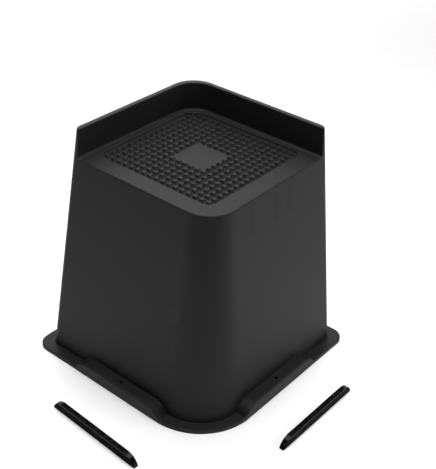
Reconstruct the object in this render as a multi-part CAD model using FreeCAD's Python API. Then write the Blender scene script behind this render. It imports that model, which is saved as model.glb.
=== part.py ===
import FreeCAD, Part
import math
import os

from FreeCAD import Vector

# Bed riser: a hollow plastic stand, moulded in one piece, that a bed leg stands on.
# Millimetres. +X is the right side, +Y the back, +Z up.
# The base stands on z = 0 while the part is built. On export everything is moved down so
# that the origin is the centre of the leg seat, the plain square in the middle of the deck.
# The guard wall stands on the left and back sides, and the front right corner is the open
# one with the large radius.

# Overall form of the moulded body
foot_side = 143.0
top_side = 113.0
deck_height = 152.5
guard_height = 19.3
flange_width = 7.7
wall = 3.0
deck_thickness = 3.5

# Corner radii of the body, which change from the foot to the top of the guard wall
open_corner_foot_radius = 33.0
open_corner_top_radius = 18.0
side_corner_radius = 5.2
back_corner_radius = 18.0

# Base flange
flange_thickness = 2.9
flange_open_radius = 43.5
flange_side_radius = 9.5
flange_back_radius = 24.0
flange_edge_fillet = 0.6
foot_fillet = 0.4

# Guard wall, which is thinnest at its top, and the deck's edges
guard_thickness = 3.8
guard_draft_angle = 3.5
guard_inner_radius = 16.0
guard_end_radius = 5.8
guard_edge_fillet = 0.8
guard_foot_fillet = 1.8
deck_edge_fillet = 0.8

# Knob field sunk into the deck, its recess a little nearer to the guard wall's two sides
recess_side = 92.2
recess_shift = 1.1
recess_depth = 1.2
recess_corner_radius = 7.0
recess_back_radius = 13.0
recess_edge_fillet = 0.4
knob_pitch = 5.2
knob_side = 3.4
knob_top_side = 2.2
knob_height = 1.6
knob_margin = 1.5
plain_side = 27.0

# Stiffening ribs under the deck
rib_thickness = 2.4
rib_depth = 12.0
rib_spacing = 28.0
rib_count = 3

# Raised housings on the flange, one in the middle of each side, hollow below. Their ends are
# arcs, and so are the strips' ends; all of them have their centres this far below the floor.
housing_length = 80.0
housing_height = 9.4
housing_skin = 1.4
housing_edge_fillet = 1.2
vent_diameter = 2.2
end_drop = 2.6

# Floor strips that push up into the housings
strip_thickness = 3.6
strip_inset = 5.0
strip_side_clearance = 0.1
strip_end_clearance = 0.1
strip_head_gap = 1.0
strip_crown_fillet = 0.5

# Where the two strips that are taken off lie on the floor
front_strip_distance = 35.4
front_strip_shift = 15.7
front_strip_angle = -2.6
right_strip_distance = 32.4
right_strip_shift = -5.1
right_strip_angle = -0.5

# How far a cutting or joining solid runs past the face that it meets
overrun = 1.0

# Two places that are nearer to each other than this count as the same
touch = 0.02

base_side = foot_side + 2 * flange_width
guard_top = deck_height + guard_height
seat_height = deck_height - recess_depth
taper = (foot_side - top_side) / 2 / guard_top
channel_height = housing_height - housing_skin
strip_height = channel_height - strip_head_gap


def body_half(z):
    """Half of the body's outside width at height z."""
    return foot_side / 2 - taper * z


def open_corner_radius(z):
    """Outside radius of the open corner at height z."""
    change = open_corner_top_radius - open_corner_foot_radius
    return open_corner_foot_radius + change * z / guard_top


def rounded_outline(x_low, x_high, y_low, y_high, radii, z):
    """Closed wire of a rectangle whose corners have the radii open, right, back and left."""
    corners = [(x_high, y_low, 1, -1), (x_high, y_high, 1, 1), (x_low, y_high, -1, 1), (x_low, y_low, -1, -1)]
    arcs = []
    for number, (x, y, side_x, side_y) in enumerate(corners):
        radius = radii[number]
        centre = Vector(x - side_x * radius, y - side_y * radius, z)
        start = math.radians(90 * number - 90)
        points = []
        for angle in (start, start + math.pi / 4, start + math.pi / 2):
            points.append(centre + Vector(radius * math.cos(angle), radius * math.sin(angle), 0))
        arcs.append(points)
    edges = []
    for number, points in enumerate(arcs):
        edges.append(Part.LineSegment(arcs[number - 1][2], points[0]).toShape())
        edges.append(Part.Arc(*points).toShape())
    return Part.Wire(edges)


def rounded_plate(side, radii, z, thickness):
    """Flat plate with a rounded square outline."""
    half = side / 2
    outline = rounded_outline(-half, half, -half, half, radii, z)
    return Part.Face(outline).extrude(Vector(0, 0, thickness))


def tapered_block(inset, z_low, z_high):
    """Solid inside the body's tapered outside, set in from it by inset all round."""
    outlines = []
    for z in (z_low, z_high):
        half = body_half(z) - inset
        side_radius = max(side_corner_radius - inset, side_corner_radius / 4)
        radii = (open_corner_radius(z) - inset, side_radius, back_corner_radius - inset, side_radius)
        outlines.append(rounded_outline(-half, half, -half, half, radii, z))
    return Part.makeLoft(outlines, True, True)


def guard_inner_half(z):
    """How far the inner face of the guard wall is from the middle at height z."""
    lean = math.tan(math.radians(guard_draft_angle))
    return body_half(guard_top) - guard_thickness - lean * (guard_top - z)


def space_inside_guard(z_low, z_high):
    """Space over the deck that the guard wall bounds on the left and back sides only."""
    outlines = []
    for z in (z_low, z_high):
        inner = guard_inner_half(z)
        outer = body_half(z) + 2 * wall
        radii = (wall, wall, guard_inner_radius, wall)
        outlines.append(rounded_outline(-inner, outer, -outer, inner, radii, z))
    return Part.makeLoft(outlines, True, True)


def guard_end_cutter():
    """Rounds off the free upper corner of the left guard wall, seen from the side."""
    lean = math.atan(taper)
    reach = guard_end_radius * math.tan(math.pi / 4 - lean / 2)
    corner = Vector(0, -body_half(guard_top), guard_top)
    on_top = corner + Vector(0, reach, 0)
    on_end = corner + Vector(0, -reach * math.sin(lean), -reach * math.cos(lean))
    centre = on_top - Vector(0, 0, guard_end_radius)
    middle_direction = (on_top - centre) + (on_end - centre)
    middle = centre + middle_direction.normalize() * guard_end_radius
    outside = corner.y - guard_end_radius
    above = guard_top + overrun
    edges = [
        Part.Arc(on_top, middle, on_end).toShape(),
        Part.LineSegment(on_end, Vector(0, outside, on_end.z)).toShape(),
        Part.LineSegment(Vector(0, outside, on_end.z), Vector(0, outside, above)).toShape(),
        Part.LineSegment(Vector(0, outside, above), Vector(0, on_top.y, above)).toShape(),
        Part.LineSegment(Vector(0, on_top.y, above), on_top).toShape(),
    ]
    cutter = Part.Face(Part.Wire(edges)).extrude(Vector(base_side / 2, 0, 0))
    cutter.translate(Vector(-base_side / 2, 0, 0))
    return cutter


def mirrored_across_diagonal(shape):
    """The same solid on the back side: x and y change places with their signs."""
    return shape.mirror(Vector(0, 0, 0), Vector(1, 1, 0))


def turned(shape, quarter_turns):
    """Copy of a front side solid on another side: 1 is right, 2 is back, 3 is left."""
    copy = shape.copy()
    copy.rotate(Vector(0, 0, 0), Vector(0, 0, 1), 90 * quarter_turns)
    return copy


def level_edges(shape, z, shortest):
    """Edges of the shape that lie at height z and are at least as long as shortest."""
    found = []
    for edge in shape.Edges:
        box = edge.BoundBox
        if abs(box.ZMin - z) < touch and abs(box.ZMax - z) < touch and edge.Length >= shortest:
            found.append(edge)
    return found


def middle_of(edge):
    return edge.valueAt((edge.FirstParameter + edge.LastParameter) / 2)


def is_at_guard(edge):
    """Whether the edge is on the guard wall's side of the diagonal through the side corners."""
    return middle_of(edge).x < middle_of(edge).y


def upper_body():
    """Tapered block with the deck cut down inside the guard wall, its edges rounded."""
    block = tapered_block(0, 0, guard_top)
    block = block.cut(space_inside_guard(deck_height, guard_top + overrun))
    cutter = guard_end_cutter()
    block = block.cut([cutter, mirrored_across_diagonal(cutter)])
    deck_edge = [e for e in level_edges(block, deck_height, 2 * wall) if not is_at_guard(e)]
    block = block.makeFillet(deck_edge_fillet, deck_edge)
    guard_foot = [e for e in level_edges(block, deck_height, 2 * wall) if is_at_guard(e)]
    block = block.makeFillet(guard_foot_fillet, guard_foot)
    return block.makeFillet(guard_edge_fillet, level_edges(block, guard_top, 2 * wall))


def end_reach(height):
    """How far the arc at a bar's end runs along the floor, for a bar of this height."""
    radius = height + end_drop
    return math.sqrt(radius ** 2 - end_drop ** 2)


def arched_bar(length, height, thickness):
    """Bar on the floor along X, centred on Y, flat on top and falling in an arc at each end."""
    radius = height + end_drop
    flat_half = length / 2 - end_reach(height)
    middle_angle = (math.pi / 2 + math.asin(end_drop / radius)) / 2
    out = radius * math.cos(middle_angle)
    up = radius * math.sin(middle_angle) - end_drop
    floor_left = Vector(-length / 2, 0, 0)
    floor_right = Vector(length / 2, 0, 0)
    top_left = Vector(-flat_half, 0, height)
    top_right = Vector(flat_half, 0, height)
    edges = [
        Part.Arc(floor_left, Vector(-flat_half - out, 0, up), top_left).toShape(),
        Part.LineSegment(top_left, top_right).toShape(),
        Part.Arc(top_right, Vector(flat_half + out, 0, up), floor_right).toShape(),
        Part.LineSegment(floor_right, floor_left).toShape(),
    ]
    bar = Part.Face(Part.Wire(edges)).extrude(Vector(0, thickness, 0))
    bar.translate(Vector(0, -thickness / 2, 0))
    return bar


def crown_edges(bar):
    """Long upper edges of an arched bar, with the arcs that carry them on down to the floor."""
    return [e for e in bar.Edges if e.BoundBox.XLength > overrun and e.BoundBox.ZMax > overrun]


def housing():
    """Raised housing of the front side, its outer face flush with the flange's edge."""
    depth = base_side / 2 - body_half(housing_height) + wall / 2
    bar = arched_bar(housing_length, housing_height, depth)
    outer = [e for e in crown_edges(bar) if e.BoundBox.YMax < 0]
    bar = bar.makeFillet(housing_edge_fillet, outer)
    bar.translate(Vector(0, -base_side / 2 + depth / 2, 0))
    return bar


def channel_length():
    """Length along the floor of the slot whose end arcs are concentric with the housing's."""
    return housing_length - 2 * (end_reach(housing_height) - end_reach(channel_height))


def strip_channel():
    """Slot under the front housing, open to the floor, with the vent in its roof."""
    length = channel_length()
    width = strip_thickness + 2 * strip_side_clearance
    slot = arched_bar(length, channel_height, width)
    mouth = Part.makeBox(length, width, overrun, Vector(-length / 2, -width / 2, -overrun))
    vent = Part.makeCylinder(vent_diameter / 2, housing_height + overrun)
    slot = slot.fuse([mouth, vent]).removeSplitter()
    slot.translate(Vector(0, -base_side / 2 + strip_inset, 0))
    return slot


def floor_strip():
    """Floor strip along X, centred on the origin, standing on its flat foot."""
    bar = arched_bar(channel_length() - 2 * strip_end_clearance, strip_height, strip_thickness)
    return bar.makeFillet(strip_crown_fillet, crown_edges(bar))


def knob():
    """One knob: a small square stud with sloping sides, its foot sunk into the recess floor."""
    foot = -overrun / 2
    spread = (knob_side - knob_top_side) / 2
    top = knob_height
    outlines = []
    for half, z in ((knob_side / 2, foot), (knob_side / 2, 0), (knob_side / 2 - spread, top)):
        points = [Vector(-half, -half, z), Vector(half, -half, z), Vector(half, half, z), Vector(-half, half, z)]
        outlines.append(Part.makePolygon(points + points[:1]))
    return Part.makeLoft(outlines, True, True)


def knob_field():
    """Rings of knobs round the plain square, as many as the recess holds."""
    room = recess_side / 2 - knob_margin - knob_side / 2
    outer = int(room / knob_pitch)
    inner = plain_side / 2 + knob_side / 2
    stud = knob()
    knobs = []
    for column in range(-outer, outer + 1):
        for row in range(-outer, outer + 1):
            if max(abs(column), abs(row)) * knob_pitch < inner:
                continue
            copy = stud.copy()
            copy.translate(Vector(column * knob_pitch, row * knob_pitch, seat_height))
            knobs.append(copy)
    return knobs


def ribs():
    """Square grid of ribs that hangs under the deck and joins the side walls."""
    top = deck_height - deck_thickness / 2
    bottom = deck_height - deck_thickness - rib_depth
    inside = tapered_block(wall / 2, bottom, top)
    grid = []
    for number in range(rib_count):
        place = (number - (rib_count - 1) / 2) * rib_spacing
        corner = Vector(place - rib_thickness / 2, -base_side / 2, bottom)
        bar = Part.makeBox(rib_thickness, base_side, top - bottom, corner)
        grid.append(bar)
        grid.append(turned(bar, 1))
    return grid[0].fuse(grid[1:]).common(inside)


def base_flange():
    """Flat flange round the foot, its upper edge rounded."""
    radii = (flange_open_radius, flange_side_radius, flange_back_radius, flange_side_radius)
    flange = rounded_plate(base_side, radii, 0, flange_thickness)
    return flange.makeFillet(flange_edge_fillet, level_edges(flange, flange_thickness, 0))


def edges_on(solid, body, z_low, z_high):
    """Edges of the body between two heights whose middle lies on the skin of the solid."""
    skin = solid.Shells[0]
    found = []
    for edge in body.Edges:
        box = edge.BoundBox
        if box.ZMin < z_low - touch or box.ZMax > z_high + touch:
            continue
        if skin.distToShape(Part.Vertex(middle_of(edge)))[0] < touch:
            found.append(edge)
    return found


def recess():
    """Space that is sunk into the deck for the knob field."""
    radii = (recess_corner_radius, recess_corner_radius, recess_back_radius, recess_corner_radius)
    space = rounded_plate(recess_side, radii, seat_height, recess_depth + overrun)
    space.translate(Vector(-recess_shift, recess_shift, 0))
    return space


def riser_body():
    """The whole moulding."""
    body = upper_body().fuse([base_flange()] + [turned(housing(), side) for side in range(4)])
    body = body.removeSplitter()
    sides = tapered_block(0, 0, guard_top)
    body = body.makeFillet(foot_fillet, edges_on(sides, body, flange_thickness, housing_height))
    cavity = tapered_block(wall, -overrun, deck_height - deck_thickness)
    body = body.cut([cavity] + [turned(strip_channel(), side) for side in range(4)])
    body = body.fuse(ribs())
    body = body.cut(recess())
    body = body.makeFillet(recess_edge_fillet, edges_on(recess(), body, deck_height, deck_height))
    return body.fuse(knob_field()).removeSplitter()


def seated_strip(side):
    """Floor strip pushed up into the housing of one side, its foot level with the flange."""
    strip = floor_strip()
    strip.translate(Vector(0, -base_side / 2 + strip_inset, 0))
    return turned(strip, side)


def loose_strip(side, distance, shift, angle):
    """Floor strip lying in front of one side, as it is before it is pushed in."""
    strip = floor_strip()
    strip.rotate(Vector(0, 0, 0), Vector(0, 0, 1), angle)
    strip.translate(Vector(shift, -base_side / 2 - distance, 0))
    return turned(strip, side)


def main():
    os.makedirs("parts", exist_ok=True)
    pieces = {
        "riser_body": riser_body(),
        "floor_strip_back": seated_strip(2),
        "floor_strip_left": seated_strip(3),
        "floor_strip_front": loose_strip(0, front_strip_distance, front_strip_shift, front_strip_angle),
        "floor_strip_right": loose_strip(1, right_strip_distance, right_strip_shift, right_strip_angle),
    }
    for name, piece in pieces.items():
        piece.translate(Vector(0, 0, -seat_height))
        print(name, len(piece.Solids), piece.isValid(), round(piece.Volume / 1000, 2), len(piece.Faces))
        piece.exportStep("parts/" + name + ".step")


main()
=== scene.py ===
"""Bed riser: a moulded stand for a bed leg, with two of its floor strips lying beside it.

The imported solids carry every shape, so this script gives each one its finish, and adds the
pale floor, the studio light and the camera.
"""

import math

import bpy
from mathutils import Matrix, Vector


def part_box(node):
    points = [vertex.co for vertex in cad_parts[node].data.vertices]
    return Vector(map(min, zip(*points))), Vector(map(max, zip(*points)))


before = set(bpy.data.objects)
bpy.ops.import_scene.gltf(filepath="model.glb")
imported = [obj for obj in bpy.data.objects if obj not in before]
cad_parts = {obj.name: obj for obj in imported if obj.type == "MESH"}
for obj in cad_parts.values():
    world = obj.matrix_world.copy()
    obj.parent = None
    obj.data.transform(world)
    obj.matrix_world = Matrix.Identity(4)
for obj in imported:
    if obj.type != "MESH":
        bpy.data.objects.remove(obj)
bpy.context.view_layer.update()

MM = 0.001

# The photograph's frame in pixels, and the camera that its straight edges give: its place in
# metres, its angles in degrees, its sensor and lens in millimetres, its optical centre in pixels
IMAGE_WIDTH = 436
IMAGE_HEIGHT = 469
CAMERA_PLACE = Vector((0.3327, -0.4093, 0.2832))
CAMERA_AZIMUTH = 39.61
CAMERA_ELEVATION = 33.72
CAMERA_ROLL = 2.19
SENSOR_WIDTH = 36.0
LENS = 71.86
OPTICAL_CENTRE = (190.0, 246.0)

# Colours as sRGB hex values
BLACK_PLASTIC = "#121212"
BLACK_PLASTIC_PALE = "#171717"
SMUDGE = "#0F0F0F"
SCUFF = "#1E1E1E"
# Paler grey painted on the knobs' sides as light, lifting the shade between the knobs
KNOB_PAINTED_LIGHT = "#2E2E2E"
BLACK_RUBBER = "#020202"
RUBBED_RUBBER = "#282828"
# Painted highlight along the rubber strips' crest
CREST_PAINTED_HIGHLIGHT = "#404040"
WHITE_FLOOR = "#FAFAFA"
WHITE_LIGHT = "#FFFFFF"

# Moulded plastic: its gloss, its fine grain, and wide clouds of slightly paler, duller skin
PLASTIC_GLOSS = {"IOR": 1.49, "Specular IOR Level": 0.25}
PLASTIC_GRAIN = {"Scale": 1 / (1.2 * MM), "Detail": 3.0, "Roughness": 0.6}
PLASTIC_GRAIN_BUMP = {"Strength": 0.25, "Distance": 0.05 * MM}
PLASTIC_CLOUDS = {"Scale": 1 / (60 * MM), "Detail": 4.0, "Roughness": 0.55}
PLASTIC_SHADES = ((0.3, BLACK_PLASTIC), (0.75, BLACK_PLASTIC_PALE))
PLASTIC_SATIN = {"From Min": 0.3, "From Max": 0.7, "To Min": 0.53, "To Max": 0.57}

# Marks on the moulding: middle and reach along X, Y and Z, in millimetres. The smudges are dull
# upright streaks under the deck's right edge, and the scuff is a pale rub on the front side.
SMUDGES = (
    ((58, -22, -11), (12, 3.5, 19)),
    ((58, 2, -12), (12, 3.5, 21)),
    ((58, 16, -12), (12, 5, 16)),
)
SCUFFS = (
    ((38, -65, -72), (5, 8, 10)),
)
SMUDGE_DULLING = 0.045
MARK_FADE = {"From Min": 0.2, "From Max": 1.0, "To Min": 1.0, "To Max": 0.0}
MARK_BREAKUP = {"Scale": 1 / (5 * MM), "Detail": 3.0}
MARK_UNEVENNESS = {"From Min": 0.35, "From Max": 0.6, "To Min": 0.5, "To Max": 1.0}

# Painted light on the sides of the knobs, a paler colour that lifts the shade between them: its
# lowest and highest place over the leg seat, and half the side of the square that holds the knob
# field
KNOB_PAINTED_LIGHT_LOW = 0.05 * MM
KNOB_PAINTED_LIGHT_HIGH = 1.15 * MM
KNOB_PAINTED_LIGHT_BLEND = 0.1 * MM
KNOB_FIELD_HALF = 50 * MM

# Cut rubber: next to no gloss, specks of dust, and a paler band painted along the strips' top as a
# highlight
RUBBER_GLOSS = {"IOR": 1.52, "Specular IOR Level": 0.02}
RUBBER_SPECKS = {"Scale": 1 / (2.0 * MM), "Detail": 4.0, "Roughness": 0.7}
RUBBER_SPECK_BUMP = {"Strength": 0.5, "Distance": 0.15 * MM}
RUBBER_SHADES = ((0.5, BLACK_RUBBER), (0.62, RUBBED_RUBBER))
RUBBER_DULLNESS = {"From Min": 0.35, "From Max": 0.65, "To Min": 0.5, "To Max": 0.75}
# Height and blend of the painted highlight band along the strips' top
PAINTED_HIGHLIGHT_BAND = 1.6 * MM
PAINTED_HIGHLIGHT_BLEND = PAINTED_HIGHLIGHT_BAND / 3

# Floor, in metres: its side, and how far out it starts to glow like the backdrop and wholly does
FLOOR_SIDE = 12.0
FLOOR_GLOSS = {"Roughness": 0.9, "Specular IOR Level": 0.1}
GLOW_START = 0.6
GLOW_FULL = 2.2

# Strength of the room's light on the riser, and of the white that the backdrop shows
ROOM_LIGHT = 0.02
BACKDROP_LIGHT = 1.0

# Softboxes: name, direction they stand in (degrees from +X towards +Y, and up), side in
# metres, spread of the beam in degrees, watts
SOFTBOXES = (
    ("softbox_behind_low", 130, 20, 0.8, 180, 4.2),
    ("softbox_behind_high", 130, 65, 0.8, 180, 5.6),
    ("softbox_behind_left", 160, 40, 0.8, 180, 2.2),
    ("softbox_behind_right", 60, 30, 0.8, 180, 0.95),
    ("softbox_right", 30, 30, 0.8, 180, 5.3),
    ("softbox_front_left", -100, 60, 0.8, 180, 3.3),
    ("softbox_overhead", 0, 90, 0.5, 45, 0.89),
)
SOFTBOX_DISTANCE = 1.2
LIT_POINT = Vector((0.0, 0.0, -0.08))


def linear_colour(hex_colour):
    """sRGB hex text as linear red, green, blue and a full alpha."""
    values = []
    for start in (1, 3, 5):
        level = int(hex_colour[start:start + 2], 16) / 255
        values.append(level / 12.92 if level <= 0.04045 else ((level + 0.055) / 1.055) ** 2.4)
    return (*values, 1.0)


def add_node(tree, kind, settings=None, values=None, links=None):
    """Adds a node of one kind, sets its settings and socket values, and links its inputs."""
    node = tree.nodes.new(kind)
    for name, value in (settings or {}).items():
        setattr(node, name, value)
    for name, value in (values or {}).items():
        node.inputs[name].default_value = value
    for name, source in (links or {}).items():
        tree.links.new(source, node.inputs[name])
    return node


def new_material(name, gloss):
    """Empty node material, its tree and its shader, with its gloss set and its output wired."""
    material = bpy.data.materials.new(name)
    material.use_nodes = True
    tree = material.node_tree
    tree.nodes.clear()
    shader = add_node(tree, "ShaderNodeBsdfPrincipled", values=gloss)
    add_node(tree, "ShaderNodeOutputMaterial", links={"Surface": shader.outputs["BSDF"]})
    return material, tree, shader


def soft_marks(tree, place, breakup, marks):
    """Factor that is highest in the middle of each mark, fades out at its reach and is uneven."""
    strongest = None
    for middle, reach in marks:
        offset = add_node(
            tree, "ShaderNodeVectorMath", {"operation": "SUBTRACT"},
            values={1: [value * MM for value in middle]},
            links={0: place},
        ).outputs["Vector"]
        share = add_node(
            tree, "ShaderNodeVectorMath", {"operation": "DIVIDE"},
            values={1: [value * MM for value in reach]},
            links={0: offset},
        ).outputs["Vector"]
        distance = add_node(
            tree, "ShaderNodeVectorMath", {"operation": "LENGTH"},
            links={0: share},
        ).outputs["Value"]
        fade = add_node(
            tree, "ShaderNodeMapRange", {"interpolation_type": "SMOOTHSTEP"},
            values=MARK_FADE,
            links={"Value": distance},
        ).outputs["Result"]
        if strongest is None:
            strongest = fade
        else:
            strongest = add_node(
                tree, "ShaderNodeMath", {"operation": "MAXIMUM"},
                links={0: strongest, 1: fade},
            ).outputs["Value"]
    return add_node(
        tree, "ShaderNodeMath", {"operation": "MULTIPLY"},
        links={0: strongest, 1: breakup},
    ).outputs["Value"]


def height_band(tree, place, low, high, blend):
    """Factor that is 1 between two heights of the frame and fades out just inside them."""
    height = add_node(tree, "ShaderNodeSeparateXYZ", links={"Vector": place}).outputs["Z"]
    offset = add_node(
        tree, "ShaderNodeMath", {"operation": "SUBTRACT"},
        values={1: (low + high) / 2},
        links={0: height},
    ).outputs["Value"]
    distance = add_node(
        tree, "ShaderNodeMath", {"operation": "ABSOLUTE"},
        links={0: offset},
    ).outputs["Value"]
    reach = (high - low) / 2
    return add_node(
        tree, "ShaderNodeMapRange", {"interpolation_type": "SMOOTHSTEP"},
        values={"From Min": reach - blend, "From Max": reach, "To Min": 1.0, "To Max": 0.0},
        links={"Value": distance},
    ).outputs["Result"]


def knob_painted_light(tree, place):
    """Factor for painted light: 1 on the sides of the knobs and 0 on the rest of the moulding."""
    knob_heights = height_band(tree, place, KNOB_PAINTED_LIGHT_LOW, KNOB_PAINTED_LIGHT_HIGH, KNOB_PAINTED_LIGHT_BLEND)
    from_middle = add_node(
        tree, "ShaderNodeVectorMath", {"operation": "ABSOLUTE"},
        links={0: place},
    ).outputs["Vector"]
    sides = add_node(tree, "ShaderNodeSeparateXYZ", links={"Vector": from_middle}).outputs
    farthest = add_node(
        tree, "ShaderNodeMath", {"operation": "MAXIMUM"},
        links={0: sides["X"], 1: sides["Y"]},
    ).outputs["Value"]
    inside_field = add_node(
        tree, "ShaderNodeMath", {"operation": "LESS_THAN"},
        values={1: KNOB_FIELD_HALF},
        links={0: farthest},
    ).outputs["Value"]
    return add_node(
        tree, "ShaderNodeMath", {"operation": "MULTIPLY"},
        links={0: knob_heights, 1: inside_field},
    ).outputs["Value"]


def moulded_polypropylene():
    """Black polypropylene, injection moulded in a spark-eroded mould.

    The fine moulded grain spreads every reflection into a soft satin glow. Handling has left
    smudges that are darker and duller and a paler scuff, and the knobs' sides get painted light, a
    paler grey that lifts the shade between the knobs.
    """
    material, tree, shader = new_material("moulded_polypropylene", PLASTIC_GLOSS)
    place = add_node(tree, "ShaderNodeTexCoord").outputs["Object"]
    clouds = add_node(
        tree, "ShaderNodeTexNoise",
        values=PLASTIC_CLOUDS,
        links={"Vector": place},
    ).outputs["Fac"]
    skin = add_node(tree, "ShaderNodeValToRGB", links={"Fac": clouds})
    for stop, (position, shade) in zip(skin.color_ramp.elements, PLASTIC_SHADES):
        stop.position = position
        stop.color = linear_colour(shade)

    breakup = add_node(
        tree, "ShaderNodeTexNoise",
        values=MARK_BREAKUP,
        links={"Vector": place},
    ).outputs["Fac"]
    uneven = add_node(
        tree, "ShaderNodeMapRange",
        values=MARK_UNEVENNESS,
        links={"Value": breakup},
    ).outputs["Result"]
    smudge = soft_marks(tree, place, uneven, SMUDGES)
    scuff = soft_marks(tree, place, uneven, SCUFFS)
    knob_light = knob_painted_light(tree, place)
    colour = skin.outputs["Color"]
    # The last mix is painted light on the knobs' sides, lifting the shade between them
    for factor, mark_colour in ((smudge, SMUDGE), (scuff, SCUFF), (knob_light, KNOB_PAINTED_LIGHT)):
        colour = add_node(
            tree, "ShaderNodeMixRGB",
            values={"Color2": linear_colour(mark_colour)},
            links={"Fac": factor, "Color1": colour},
        ).outputs["Color"]
    tree.links.new(colour, shader.inputs["Base Color"])

    satin = add_node(
        tree, "ShaderNodeMapRange",
        values=PLASTIC_SATIN,
        links={"Value": clouds},
    ).outputs["Result"]
    dulled = add_node(
        tree, "ShaderNodeMath", {"operation": "MULTIPLY_ADD"},
        values={1: SMUDGE_DULLING},
        links={0: smudge, 2: satin},
    ).outputs["Value"]
    tree.links.new(dulled, shader.inputs["Roughness"])

    grain = add_node(
        tree, "ShaderNodeTexNoise",
        values=PLASTIC_GRAIN,
        links={"Vector": place},
    ).outputs["Fac"]
    bump = add_node(
        tree, "ShaderNodeBump",
        values=PLASTIC_GRAIN_BUMP,
        links={"Height": grain},
    ).outputs["Normal"]
    tree.links.new(bump, shader.inputs["Normal"])
    return material


def cut_rubber(strip_top):
    """Black rubber strip, extruded and cut, with a dull skin that holds specks of dust.

    The skin swallows nearly all light. The specks are drawn as coarse as they need to be to
    show, and a paler band is painted along the strip's upper edge as a highlight, so that it shows
    as a thin line.
    """
    material, tree, shader = new_material("cut_rubber", RUBBER_GLOSS)
    place = add_node(tree, "ShaderNodeTexCoord").outputs["Object"]
    specks = add_node(
        tree, "ShaderNodeTexNoise",
        values=RUBBER_SPECKS,
        links={"Vector": place},
    ).outputs["Fac"]
    skin = add_node(tree, "ShaderNodeValToRGB", links={"Fac": specks})
    for stop, (position, shade) in zip(skin.color_ramp.elements, RUBBER_SHADES):
        stop.position = position
        stop.color = linear_colour(shade)
    # Paler band along the strip's top: a painted highlight on its crest
    crest_highlight = height_band(tree, place, strip_top - PAINTED_HIGHLIGHT_BAND, strip_top, PAINTED_HIGHLIGHT_BLEND)
    highlighted_skin = add_node(
        tree, "ShaderNodeMixRGB",
        values={"Color2": linear_colour(CREST_PAINTED_HIGHLIGHT)},
        links={"Fac": crest_highlight, "Color1": skin.outputs["Color"]},
    ).outputs["Color"]
    tree.links.new(highlighted_skin, shader.inputs["Base Color"])

    dull = add_node(
        tree, "ShaderNodeMapRange",
        values=RUBBER_DULLNESS,
        links={"Value": specks},
    ).outputs["Result"]
    tree.links.new(dull, shader.inputs["Roughness"])

    bump = add_node(
        tree, "ShaderNodeBump",
        values=RUBBER_SPECK_BUMP,
        links={"Height": specks},
    ).outputs["Normal"]
    tree.links.new(bump, shader.inputs["Normal"])
    return material


def give(node_name, material):
    """Puts a material on a CAD node."""
    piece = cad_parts[node_name]
    piece.data.materials.clear()
    piece.data.materials.append(material)


def studio_paper():
    """Matt white paper, which glows far out, where it runs into the white backdrop."""
    material, tree, shader = new_material("white_studio_paper", FLOOR_GLOSS)
    shader.inputs["Base Color"].default_value = linear_colour(WHITE_FLOOR)
    shader.inputs["Emission Color"].default_value = linear_colour(WHITE_LIGHT)
    place = add_node(tree, "ShaderNodeTexCoord").outputs["Object"]
    distance = add_node(
        tree, "ShaderNodeVectorMath", {"operation": "LENGTH"},
        links={0: place},
    ).outputs["Value"]
    far_glow = add_node(
        tree, "ShaderNodeMapRange", {"interpolation_type": "SMOOTHSTEP"},
        values={
            "From Min": GLOW_START, "From Max": GLOW_FULL,
            "To Min": 0.0, "To Max": BACKDROP_LIGHT,
        },
        links={"Value": distance},
    ).outputs["Result"]
    tree.links.new(far_glow, shader.inputs["Emission Strength"])
    return material


def pale_floor():
    """Wide floor of white paper that the riser stands on."""
    bpy.ops.object.select_all(action="DESELECT")
    bpy.ops.mesh.primitive_plane_add(size=FLOOR_SIDE, location=(0, 0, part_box("riser_body")[0].z))
    floor = bpy.context.object
    floor.name = "pale_floor"
    floor.data.materials.append(studio_paper())


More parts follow.
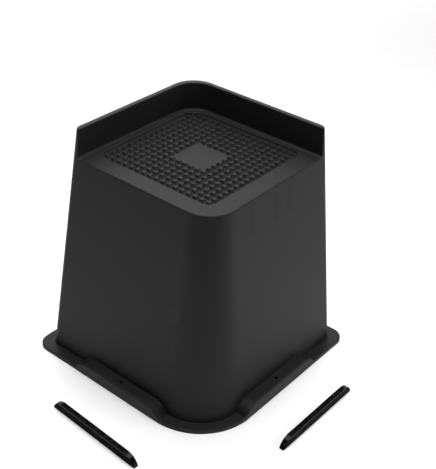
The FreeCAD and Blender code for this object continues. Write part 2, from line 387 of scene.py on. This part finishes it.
def room_light():
    """Faint even light from all round, in front of a backdrop that the camera sees as white."""
    world = bpy.data.worlds.new("white_room")
    world.use_nodes = True
    tree = world.node_tree
    background = tree.nodes["Background"]
    background.inputs["Color"].default_value = linear_colour(WHITE_LIGHT)
    seen = add_node(tree, "ShaderNodeLightPath").outputs["Is Camera Ray"]
    strength = add_node(
        tree, "ShaderNodeMapRange",
        values={"To Min": ROOM_LIGHT, "To Max": BACKDROP_LIGHT},
        links={"Value": seen},
    ).outputs["Result"]
    tree.links.new(strength, background.inputs["Strength"])
    bpy.context.scene.world = world


def softbox(name, azimuth, elevation, side, spread, power):
    """Square area lamp that faces the middle of the riser from the given direction."""
    lamp = bpy.data.lights.new(name, "AREA")
    lamp.shape = "SQUARE"
    lamp.size = side
    lamp.spread = math.radians(spread)
    lamp.energy = power
    holder = bpy.data.objects.new(name, lamp)
    bpy.context.scene.collection.objects.link(holder)
    level = math.cos(math.radians(elevation))
    direction = Vector((
        math.cos(math.radians(azimuth)) * level,
        math.sin(math.radians(azimuth)) * level,
        math.sin(math.radians(elevation)),
    ))
    holder.location = LIT_POINT + direction * SOFTBOX_DISTANCE
    holder.rotation_euler = (-direction).to_track_quat("-Z", "Y").to_euler()


def photograph_camera():
    """Camera at the photograph's place, its optical centre shifted as in the photograph."""
    data = bpy.data.cameras.new("photograph_camera")
    data.sensor_width = SENSOR_WIDTH
    data.lens = LENS
    longest = max(IMAGE_WIDTH, IMAGE_HEIGHT)
    data.shift_x = (IMAGE_WIDTH / 2 - OPTICAL_CENTRE[0]) / longest
    data.shift_y = (OPTICAL_CENTRE[1] - IMAGE_HEIGHT / 2) / longest
    camera = bpy.data.objects.new("photograph_camera", data)
    bpy.context.scene.collection.objects.link(camera)
    turn = Matrix.Rotation(math.radians(CAMERA_AZIMUTH), 4, "Z")
    tilt = Matrix.Rotation(math.radians(90 - CAMERA_ELEVATION), 4, "X")
    roll = Matrix.Rotation(math.radians(CAMERA_ROLL), 4, "Z")
    camera.matrix_world = Matrix.Translation(CAMERA_PLACE) @ turn @ tilt @ roll
    bpy.context.scene.camera = camera


give("riser_body", moulded_polypropylene())
rubber = cut_rubber(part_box("floor_strip_front")[1].z)
for strip in ("floor_strip_back", "floor_strip_left", "floor_strip_front", "floor_strip_right"):
    give(strip, rubber)

pale_floor()
room_light()
for setting in SOFTBOXES:
    softbox(*setting)
photograph_camera()
bpy.context.scene.view_settings.view_transform = "Standard"
